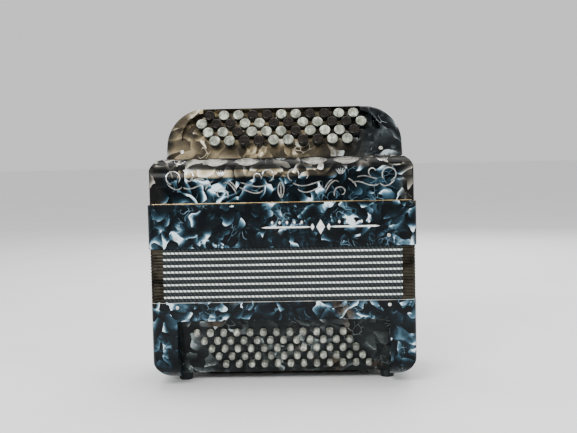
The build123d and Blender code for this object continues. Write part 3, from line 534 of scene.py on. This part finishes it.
for row, colours in CAP_COLOURS.items():
    node = f"treble_buttons_row_{row}"
    build = Build()
    places = row_places(node, TREBLE_OUT, TREBLE_UP, CAP_RADIUS, TREBLE_PITCH)
    for origin, colour in zip(places, colours):
        place = axes_at(origin, Vector((1, 0, 0)), TREBLE_UP, TREBLE_OUT)
        cap = 1 if colour == "W" else 2
        profile = [(r * MM, -depth * MM) for r, depth in BUTTON_PROFILE]
        build.lathe(profile, place, lambda i, j, c=cap: c if i >= CAP_FIRST else 0, 36)
    made = build.piece(f"treble_buttons_{row}", f"treble_row_{row}", [M_BODY, M_PEARL, M_BLACK])
    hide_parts(node)


# ---- Bellows ------------------------------------------------------------------------

FOLD_COUNT = 17
CORNER_LEG, CORNER_RADIUS = 17.0 * MM, 5.0 * MM
FOLD_DEPTH = 26.0 * MM


def perimeter(half_x, low_y, high_y, radius, step, corner_leg):
    """Points round a rounded rectangle as (x, y, outward x, outward y, is_corner)."""
    mid_y, half_y = (low_y + high_y) / 2, (high_y - low_y) / 2
    ring = []
    # each side in turn: its direction, outward side, half length and distance from the middle
    for dx, dy, ox, oy, length, away in (
        (1, 0, 0, -1, half_x, half_y), (0, 1, 1, 0, half_y, half_x),
        (-1, 0, 0, 1, half_x, half_y), (0, -1, -1, 0, half_y, half_x),
    ):
        span = length - corner_leg
        count = max(2, round(2 * span / step))
        metal_steps = 3
        stations = [-(length - radius) + k * (corner_leg - radius) / metal_steps
                    for k in range(metal_steps)]
        stations += [-span + k * 2 * span / count for k in range(count + 1)]
        stations += [span + (k + 1) * (corner_leg - radius) / metal_steps
                     for k in range(metal_steps)]
        for along in stations:
            x, y = dx * along + ox * away, dy * along + oy * away
            ring.append((x, mid_y + y, ox, oy, abs(along) > span + 1e-6))
        for k in range(1, 6):
            angle = math.radians(90) * k / 6
            nx = ox * math.cos(angle) + dx * math.sin(angle)
            ny = oy * math.cos(angle) + dy * math.sin(angle)
            cx = dx * (length - radius) + ox * (away - radius)
            cy = dy * (length - radius) + oy * (away - radius)
            ring.append((cx + nx * radius, mid_y + cy + ny * radius, nx, ny, True))
    return ring


def fold_ring(index, half_x, low_y, high_y, z0, z1):
    """One fold: card, a corded edge along each side, and metal at each corner."""
    white = index % 2 == 1
    ring = perimeter(half_x, low_y, high_y, CORNER_RADIUS, STRAND_PITCH / 7, CORNER_LEG)
    inner_x, inner_low, inner_high = half_x - FOLD_DEPTH, low_y + FOLD_DEPTH, high_y - FOLD_DEPTH
    half = (z1 - z0) / 2
    middle = (z0 + z1) / 2
    section = [(1.3, -0.97), (0.85, -0.94), (0.45, -0.80), (0.12, -0.58), (0.0, 0.0),
               (0.12, 0.58), (0.45, 0.80), (0.85, 0.94), (1.3, 0.97)]
    rows = []
    for x, y, ox, oy, corner in ring:
        inside = (max(-inner_x, min(inner_x, x)), max(inner_low, min(inner_high, y)))
        line = [Vector((*inside, middle - half * 0.97))]
        for depth, height in section:
            inset = depth * MM
            if corner:
                inset = inset * 0.7 + 0.05 * MM
            else:
                phase = (x + y) / STRAND_PITCH + (middle + half * height) / STRAND_RISE
                inset += 0.62 * MM * (1 - abs(math.cos(math.pi * phase))) * (1 - height ** 2 * 0.5)
            line.append(Vector((x - ox * inset, y - oy * inset, middle + half * height)))
        line.append(Vector((*inside, middle + half * 0.97)))
        rows.append(line)
    build = Build()
    last = len(section)

    def mark(i, j):
        if j in (0, last):
            return 1
        if ring[i][4] or ring[(i + 1) % len(ring)][4]:
            return 2
        return 0 if 4 <= j <= 5 else 1

    build.grid(rows, mark, close=True)
    for i in range(len(rows)):
        a, b = i * (last + 2), (i + 1) % len(rows) * (last + 2)
        build.faces.append((a + last + 1, a, b, b + last + 1))
        build.marks.append(1)
    cord = M_ROPE_WHITE if white else M_ROPE_DARK
    made = build.piece(f"bellows_edge_{index + 1:02d}", f"fold_{index + 1:02d}",
                       [cord, M_TAPE, M_CORNER], 50.0, clean=True)
    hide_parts(f"bellows_fold_{index + 1:02d}")


def gusset(index, half_x, low_y, high_y, z0, z1, below, above):
    """The pleat of cloth that opens between two neighbouring folds."""
    ring = perimeter(half_x, low_y, high_y, CORNER_RADIUS, 9.0 * MM, CORNER_LEG)
    deep = FOLD_DEPTH - 1.5 * MM
    inner_x, inner_low, inner_high = half_x - deep, low_y + deep, high_y - deep
    rows = []
    for x, y, ox, oy, _ in ring:
        inside = Vector((max(-inner_x, min(inner_x, x)), max(inner_low, min(inner_high, y)), 0))
        outside = Vector((x - ox * 1.6 * MM, y - oy * 1.6 * MM, 0))
        line = []
        for share, height in ((0.0, 0.0), (0.5, 0.25), (1.0, 0.5), (0.5, 0.75), (0.0, 1.0)):
            point = outside.lerp(inside, share)
            point.z = z0 + (z1 - z0) * height
            line.append(point)
        rows.append(line)
    build = Build()
    build.grid(rows, 0, close=True)
    made = build.piece(f"bellows_pleat_{index + 1:02d}", None, [M_GUSSET], 60.0)
    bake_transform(made)


fold_boxes = [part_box(f"bellows_fold_{i + 1:02d}") for i in range(FOLD_COUNT)]
for i, (low, high) in enumerate(fold_boxes):
    fold_ring(i, high.x, low.y, high.y, low.z, high.z)
chain = ["bass_case"] + [f"fold_{i + 1:02d}" for i in range(FOLD_COUNT)] + ["treble_case"]
tops = [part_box("bellows_frame_bass")[1].z] + [high.z for _, high in fold_boxes]
bottoms = [low.z for low, _ in fold_boxes] + [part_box("bellows_frame_treble")[0].z]
edge_low, edge_high = fold_boxes[0]
for i in range(FOLD_COUNT + 1):
    gusset(i, edge_high.x, edge_low.y, edge_high.y, tops[i] - 0.02 * MM, bottoms[i] + 0.02 * MM,
           chain[i], chain[i + 1])


# ---- Grille cover: ornament, wires and trim -----------------------------------------

cover_low, cover_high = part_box("grille_cover")
LEDGE = cover_low.z
NOSE_RADIUS = 28.0 * MM
FLAT = cover_high.z - NOSE_RADIUS - LEDGE
ROUND = NOSE_RADIUS * math.pi / 2


def on_cover(x, s, lift=0.0):
    """Point and outward direction on the cover, s being the way up from the ledge."""
    if s <= FLAT:
        y, z, normal = cover_low.y, LEDGE + s, Vector((0, -1, 0))
    elif s <= FLAT + ROUND:
        angle = (s - FLAT) / NOSE_RADIUS
        normal = Vector((0, -math.cos(angle), math.sin(angle)))
        y = cover_low.y + NOSE_RADIUS + normal.y * NOSE_RADIUS
        z = LEDGE + FLAT + normal.z * NOSE_RADIUS
    else:
        y, z = cover_low.y + NOSE_RADIUS + (s - FLAT - ROUND), cover_high.z
        normal = Vector((0, 0, 1))
    return Vector((x, y, z)) + normal * lift, normal


def curl(x, s, start_radius, end_radius, start, end, steps=40):
    """A plain spiral stroke in the cover's own plane, in mm and degrees."""
    stroke = []
    for k in range(steps + 1):
        t = k / steps
        radius = start_radius + (end_radius - start_radius) * t
        angle = math.radians(start + (end - start) * t)
        stroke.append((x + radius * math.cos(angle), s + radius * math.sin(angle)))
    return stroke


def sweep_line(points, steps=40):
    """A smooth stroke through four control points."""
    (x0, s0), (x1, s1), (x2, s2), (x3, s3) = points
    stroke = []
    for k in range(steps + 1):
        t = k / steps
        a, b, c, d = (1 - t) ** 3, 3 * t * (1 - t) ** 2, 3 * t * t * (1 - t), t ** 3
        stroke.append((a * x0 + b * x1 + c * x2 + d * x3, a * s0 + b * s1 + c * s2 + d * s3))
    return stroke


HALF_ORNAMENT = [
    curl(17, 36, 8.5, 6.0, 250, -20), curl(31, 33, 6.5, 2.6, 200, -60),
    sweep_line([(16, 25), (28, 17), (40, 24), (52, 27)]),
    sweep_line([(22, 17), (32, 8), (42, 16), (54, 21)]),
    curl(77, 12, 21, 20, 165, 118), curl(77, 12, 20, 21, 62, 15),
    curl(77, 12, 9.5, 3.0, 210, -80), sweep_line([(57, 12), (62, 24), (70, 31), (74, 25)]),
    sweep_line([(92, 24), (104, 30), (112, 15), (126, 22)]),
    sweep_line([(98, 31), (108, 36), (118, 28), (124, 29)]),
    curl(118, 38, 6.5, 3.0, 250, -10), curl(139, 34, 9.5, 8.0, 215, -80),
    sweep_line([(127, 23), (132, 16), (140, 20), (146, 27)]),
]
END_ARCS = [curl(131, 62, 7.5, 7.5, 200, 340, 24)]
for ray in range(5):
    lean = (ray - 2) * 17
    tip = (77 + 11.0 * math.sin(math.radians(lean)), 33 + 11.0 * math.cos(math.radians(lean)))
    HALF_ORNAMENT.append([(77 + (tip[0] - 77) * t, 33 + (tip[1] - 33) * t)
                          for t in (0.25, 0.6, 1.0)])
CENTRE_ORNAMENT = [
    sweep_line([(0, 27), (-6, 20), (-4, 12), (0, 5)]),
    sweep_line([(0, 27), (6, 20), (4, 12), (0, 5)]),
    [(0, 7), (0, 15), (0, 24)],
]
for ray in range(5):
    lean = math.radians((ray - 2) * 24)
    CENTRE_ORNAMENT.append([
        (5.0 * t * math.sin(lean) * 1.8, 59 + 7.0 * t * math.cos(lean)) for t in (0.2, 0.6, 1.0)])


def resample(stroke, spacing):
    """Points at an even spacing along a stroke."""
    out, carry = [stroke[0]], 0.0
    for (x0, s0), (x1, s1) in zip(stroke, stroke[1:]):
        length = math.hypot(x1 - x0, s1 - s0)
        way = spacing - carry
        while way <= length:
            out.append((x0 + (x1 - x0) * way / length, s0 + (s1 - s0) * way / length))
            way += spacing
        carry = length - (way - spacing)
    return out


# the strip's section: (share of half width, share of height), and its stones, in mm
RIBBON_SECTION = [(-1, -0.2), (-0.9, 0.5), (-0.4, 0.95), (0.4, 0.95), (0.9, 0.5), (1, -0.2)]
RIBBON_WIDTH, RIBBON_HEIGHT = 1.5, 0.5
STONE_SPACING, STONE_RADIUS = 1.7, 0.58


def ribbon(build, stroke, width, lift):
    """A thin half-round strip that follows a stroke on the cover."""
    points = resample(stroke, 1.0)
    if len(points) < 2:
        return
    rows = []
    for i, (x, s) in enumerate(points):
        before, after = points[max(0, i - 1)], points[min(len(points) - 1, i + 1)]
        run = Vector((after[0] - before[0], after[1] - before[1])).normalized()
        taper = min(1.0, 0.45 + 0.25 * min(i, len(points) - 1 - i))
        line = []
        for across, height in RIBBON_SECTION:
            offset = across * width * taper / 2
            px, ps = x - run.y * offset, s + run.x * offset
            line.append(on_cover(px * MM, ps * MM, height * lift * MM)[0])
        rows.append(line)
    build.grid(rows, 0, wrap=True)
    count = len(RIBBON_SECTION)
    base = len(build.points) - len(rows) * count
    build.faces.append(tuple(base + k for k in range(count)))
    build.faces.append(tuple(len(build.points) - 1 - k for k in range(count)))
    build.marks.extend((0, 0))


def stone(build, x, s, radius):
    """A faceted round stone standing in the strip."""
    centre, normal = on_cover(x * MM, s * MM, 0.45 * MM)
    side = Vector((1, 0, 0))
    place = axes_at(centre, side, normal.cross(side), normal)
    profile = [(radius * MM, 0.0), (radius * MM, 0.18 * MM), (radius * 0.55 * MM, 0.62 * MM)]
    build.lathe(profile, place, 1, 8)


ornament = Build()
strokes = list(CENTRE_ORNAMENT)
for stroke in HALF_ORNAMENT + END_ARCS:
    strokes.append(stroke)
    strokes.append([(-x, s) for x, s in stroke])
for stroke in strokes:
    ribbon(ornament, stroke, RIBBON_WIDTH, RIBBON_HEIGHT)
    for x, s in resample(stroke, STONE_SPACING):
        stone(ornament, x, s, STONE_RADIUS)
made = ornament.piece("grille_ornament", "treble_case", [M_SILVER, M_CRYSTAL], 25.0)
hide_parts("grille_scrollwork")

SLOT_MIDDLES = (-84.5, -43.5, 43.5, 84.5)
SLOT_Y, SLOT_LENGTH, SLOT_WIDTH = -73.0, 32.0, 11.0
LEAF_RADIUS = (SLOT_LENGTH ** 2 / 4 + SLOT_WIDTH ** 2 / 4) / SLOT_WIDTH
LEAF_OFFSET = LEAF_RADIUS - SLOT_WIDTH / 2
WIRE_PITCH, WIRE_RADIUS = 1.55, 0.24
WIRE_INSET, WEAVE_DEPTH = 0.55, 0.14
RIM_RADIUS, RIM_OFFSET = 0.5, 0.5


def leaf_half(along):
    """Half the width of a slot at a distance along it from its middle, in mm."""
    return max(0.0, math.sqrt(max(0.0, LEAF_RADIUS ** 2 - along ** 2)) - LEAF_OFFSET)


def cover_under(x, y, inset):
    """A point a little inside the cover's rounded skin, at a plan position in mm."""
    radius = NOSE_RADIUS - inset
    centre_y = cover_low.y + NOSE_RADIUS
    across = min(0.0, y * MM - centre_y)
    rise = math.sqrt(max(0.0, radius ** 2 - across ** 2))
    return Vector((x * MM, y * MM, cover_high.z - NOSE_RADIUS + rise))


def wire(build, points, radius):
    """A thin round wire through points."""
    rows = []
    for i, point in enumerate(points):
        run = (points[min(i + 1, len(points) - 1)] - points[max(0, i - 1)]).normalized()
        side = run.orthogonal().normalized()
        other = run.cross(side)
        rows.append([point + (side * math.cos(a) + other * math.sin(a)) * radius
                     for a in (0.0, 1.257, 2.513, 3.770, 5.027)])
    build.grid(rows, 0, wrap=True)


wires = Build()
for middle in SLOT_MIDDLES:
    for index in range(-9, 10):
        along = index * WIRE_PITCH
        half = leaf_half(along) + 0.4
        if half < 1.0:
            continue
        weave = [cover_under(middle + along, SLOT_Y + half * k / 5,
                             (WIRE_INSET + WEAVE_DEPTH * (-1) ** (index + k)) * MM)
                 for k in range(-5, 6)]
        wire(wires, weave, WIRE_RADIUS * MM)
    for index in range(-3, 4):
        across = index * WIRE_PITCH
        reach = math.sqrt(max(0.0, LEAF_RADIUS ** 2 - (LEAF_OFFSET + abs(across)) ** 2)) + 0.4
        count = max(2, round(reach / WIRE_PITCH))
        weave = [cover_under(middle + reach * k / count, SLOT_Y + across,
                             (WIRE_INSET - WEAVE_DEPTH * (-1) ** (index + k)) * MM)
                 for k in range(-count, count + 1)]
        wire(wires, weave, WIRE_RADIUS * MM)
wires.piece("grille_wires", "treble_case", [M_STEEL], 60.0)

rims = Build()
for middle in SLOT_MIDDLES:
    for side in (-1, 1):
        outline = [(k / 16) * SLOT_LENGTH / 2 for k in range(-16, 17)]
        edge = [cover_under(middle + along, SLOT_Y + side * (leaf_half(along) + RIM_OFFSET), 0.0)
                for along in outline]
        wire(rims, edge, RIM_RADIUS * MM)
rims.piece("grille_rims", "treble_case", [M_SILVER], 60.0)


def bar_along(build, x0, x1, section, mark=0, steps=24):
    """A moulding along X with a closed (y, z) section, in metres."""
    rows = [[Vector((x0 + (x1 - x0) * k / steps, y, z)) for y, z in section]
            for k in range(steps + 1)]
    build.grid(rows, mark, wrap=True)
    count = len(section)
    base = len(build.points) - len(rows) * count
    build.faces.append(tuple(base + k for k in range(count)))
    build.faces.append(tuple(len(build.points) - 1 - k for k in range(count)))
    build.marks.extend((mark, mark))


trim = Build()
half = cover_high.x - 4.0 * MM
bead = [(-0.1, 0.0), (-0.9, 0.05), (-1.2, 0.5), (-1.0, 1.0), (-0.5, 1.25), (-0.1, 1.2)]
bar_along(trim, -half, half, [(cover_low.y + y * MM, LEDGE + z * MM) for y, z in bead])
trim.piece("ledge_bead", "treble_case", [M_BRASS], 60.0)


# ---- Plain inlay on the treble band -------------------------------------------------

band_low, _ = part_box("treble_casing")
BAND_FRONT = band_low.y


def inlay_plate(build, outline, x, z, thick=0.35):
    """A thin flat inlay on the band's front from an outline of (x, z) in mm."""
    front = [Vector(((x + px) * MM, BAND_FRONT - thick * MM, (z + pz) * MM)) for px, pz in outline]
    back = [Vector((p.x, BAND_FRONT + 0.1 * MM, p.z)) for p in front]
    build.grid([back, front], 0, wrap=True)
    build.faces.append(tuple(len(build.points) - 1 - k for k in range(len(outline))))
    build.marks.append(0)


def tapered(length, width):
    """A long bar with pointed ends."""
    return [(-length / 2, 0), (-length / 2 + 6, -width / 2), (length / 2 - 6, -width / 2),
            (length / 2, 0), (length / 2 - 6, width / 2), (-length / 2 + 6, width / 2)]


def lozenge(width, height):
    """A lozenge outline."""
    return [(-width / 2, 0), (0, -height / 2), (width / 2, 0), (0, height / 2)]


inlay = Build()
INLAY_X, INLAY_Z = 50.0, 210.5
inlay_plate(inlay, tapered(64, 2.2), INLAY_X - 44, INLAY_Z)
inlay_plate(inlay, tapered(64, 2.2), INLAY_X + 44, INLAY_Z)
for shift, width, height in ((0, 11, 19), (-10.5, 5, 9), (10.5, 5, 9)):
    inlay_plate(inlay, lozenge(width, height), INLAY_X + shift, INLAY_Z)
for side in (-1, 1):
    for k in range(5):
        inlay_plate(inlay, lozenge(3.4, 5.0), INLAY_X + side * (24 + 9.5 * k), INLAY_Z + 6.2)
inlay.piece("band_inlay", "treble_case", [M_IVORY], 30.0)


# ---- Binding round the bass casing's open edge ---------------------------------------

def binding(name, body, half_x, low_y, high_y, radius, z0, z1, proud, material):
    """A thin strip round a casing."""
    ring = perimeter(half_x, low_y, high_y, radius, 12.0 * MM, radius + 1.0 * MM)
    section = [(-0.3, z0), (proud * 0.8, z0), (proud, (z0 + z1) / 2), (proud * 0.8, z1),
               (-0.3, z1)]
    rows = [[Vector((x + ox * out * MM, y + oy * out * MM, z)) for out, z in section]
            for x, y, ox, oy, _ in ring]
    build = Build()
    build.grid(rows, 0, wrap=True, close=True)
    build.piece(name, body, [material], 60.0)


case_low, case_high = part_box("bass_casing")
EDGE = 8.0 * MM
binding("bass_edge_binding", "bass_case", case_high.x, case_low.y, case_high.y, EDGE,
        case_high.z - 1.2 * MM, case_high.z - 0.6 * MM, 0.18, M_SILVER)


# ---- Hand strap ---------------------------------------------------------------------

STRAP_LINE = [(-141.0, 9.4), (-133.0, 9.3), (-125.0, 8.9), (-114.0, 6.4), (-103.0, 3.8),
              (-90.0, 3.5), (-45.0, 3.5), (0.0, 3.5), (45.0, 3.5), (90.0, 3.5), (103.0, 3.8),
              (114.0, 6.4), (125.0, 8.9), (133.0, 9.3), (141.0, 9.4)]
strap_low, strap_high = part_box("bass_strap")


def smooth_line(points, per_span):
    """A smooth line through points, by Catmull-Rom."""
    out = []
    padded_points = [points[0], *points, points[-1]]
    for i in range(len(points) - 1):
        p0, p1, p2, p3 = padded_points[i:i + 4]
        for k in range(per_span):
            t = k / per_span
            out.append(tuple(
                0.5 * (2 * b + (c - a) * t + (2 * a - 5 * b + 4 * c - d) * t * t
                       + (3 * b - a - 3 * c + d) * t ** 3) for a, b, c, d in zip(p0, p1, p2, p3)))
    return out + [points[-1]]


line = smooth_line(STRAP_LINE, 8)
strap_middle = (strap_low.y + strap_high.y) / 2
strap_half = (strap_high.y - strap_low.y) / 2
# the strap's section: (share of half width, height in mm), thinner along its stitched edges
SECTION = [(-1.0, 0.0), (-0.985, 0.55), (-0.94, 0.8), (-0.86, 0.86), (-0.78, 1.15), (-0.55, 1.38),
           (0.0, 1.45), (0.55, 1.38), (0.78, 1.15), (0.86, 0.86), (0.94, 0.8), (0.985, 0.55),
           (1.0, 0.0)]
SECTION += [(share, -height) for share, height in SECTION[-2:0:-1]]
strap = Build()
rows = []
for i, (x, z) in enumerate(line):
    before, after = line[max(0, i - 1)], line[min(len(line) - 1, i + 1)]
    run = Vector((after[0] - before[0], 0, after[1] - before[1])).normalized()
    normal = Vector((-run.z, 0, run.x))
    end = max(0.0, (abs(x) - 137.0) / 4.0)
    rows.append([Vector((x * MM, strap_middle + share * strap_half * (1 - 0.05 * end), z * MM))
                 + normal * height * MM for share, height in SECTION])
strap.grid(rows, 0, wrap=True)
width = len(SECTION)
strap.faces.append(tuple(range(width)))
strap.faces.append(tuple(len(strap.points) - 1 - k for k in range(width)))
strap.marks.extend((0, 0))
made = strap.piece("hand_strap", "bass_case", [M_LEATHER], 60.0)
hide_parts("bass_strap")

STITCH_PROFILE = [(0.10, 0.0), (0.30, 0.4), (0.30, 2.2), (0.10, 2.6)]
stitches = Build()
stations = resample([(x, z) for x, z in line], 4.2)
for i, (x, z) in enumerate(stations[1:-1], 1):
    before, after = stations[i - 1], stations[i + 1]
    run = Vector((after[0] - before[0], 0, after[1] - before[1])).normalized()
    normal = Vector((-run.z, 0, run.x))
    for side in (-1, 1):
        for face in (-1, 1):
            centre = Vector((x * MM, strap_middle + side * 0.90 * strap_half, z * MM))
            centre = centre + normal * face * 0.86 * MM
            place = axes_at(centre - run * 1.3 * MM, normal, Vector((0, 1, 0)), run)
            stitches.lathe([(r * MM, z * MM) for r, z in STITCH_PROFILE], place, 0, 6)
stitches.piece("hand_strap_stitching", "bass_case", [M_THREAD], 60.0)


# ---- Floor, light and camera ---------------------------------------------------------

floor = Build()
FLOOR = 14.0
floor.grid([[Vector((-FLOOR, -FLOOR, 0)), Vector((FLOOR, -FLOOR, 0))],
            [Vector((-FLOOR, FLOOR, 0)), Vector((FLOOR, FLOOR, 0))]])
floor.piece("floor", None, [paper_floor("studio_floor")])

world = bpy.data.worlds.new("studio")
world.use_nodes = True
world.node_tree.nodes["Background"].inputs["Color"].default_value = (1.0, 1.0, 1.0, 1.0)
world.node_tree.nodes["Background"].inputs["Strength"].default_value = 0.85
bpy.context.scene.world = world


def softbox(name, place, target, size, power, colour=(1, 1, 1)):
    """A square soft light aimed at a point."""
    light = bpy.data.lights.new(name, "AREA")
    light.shape = "RECTANGLE"
    light.size, light.size_y = size
    light.energy = power
    light.color = colour
    made = bpy.data.objects.new(name, light)
    bpy.context.scene.collection.objects.link(made)
    made.location = place
    aim = Vector(target) - Vector(place)
    made.rotation_euler = aim.to_track_quat("-Z", "Y").to_euler()


softbox("key", (-0.55, -1.7, 1.35), (0, 0, 0.2), (0.9, 0.7), 38.0)
softbox("fill", (1.5, -1.2, 0.8), (0, 0, 0.2), (0.8, 1.0), 12.0)
softbox("top", (0.0, 0.3, 1.9), (0, 0, 0.2), (1.4, 1.0), 22.0)
softbox("back", (0.4, 1.8, 1.1), (0, 0, 0.2), (1.2, 0.8), 18.0)

EYE, LOOK = Vector((0.0457, -1.3493, 0.3148)), Vector((0.0067, -0.004, 0.2182))
ROLL, LENS = math.radians(1.2), 61.6
camera_data = bpy.data.cameras.new("camera")
camera_data.lens, camera_data.sensor_width = LENS, 36.0
camera = bpy.data.objects.new("camera", camera_data)
bpy.context.scene.collection.objects.link(camera)
ahead = (LOOK - EYE).normalized()
right = ahead.cross(Vector((0, 0, 1))).normalized()
up = right.cross(ahead)
right, up = (right * math.cos(ROLL) - up * math.sin(ROLL),
             right * math.sin(ROLL) + up * math.cos(ROLL))
camera.matrix_world = axes_at(EYE, right, up, -ahead)
camera_data.clip_start, camera_data.clip_end = 0.05, 60.0
bpy.context.scene.camera = camera
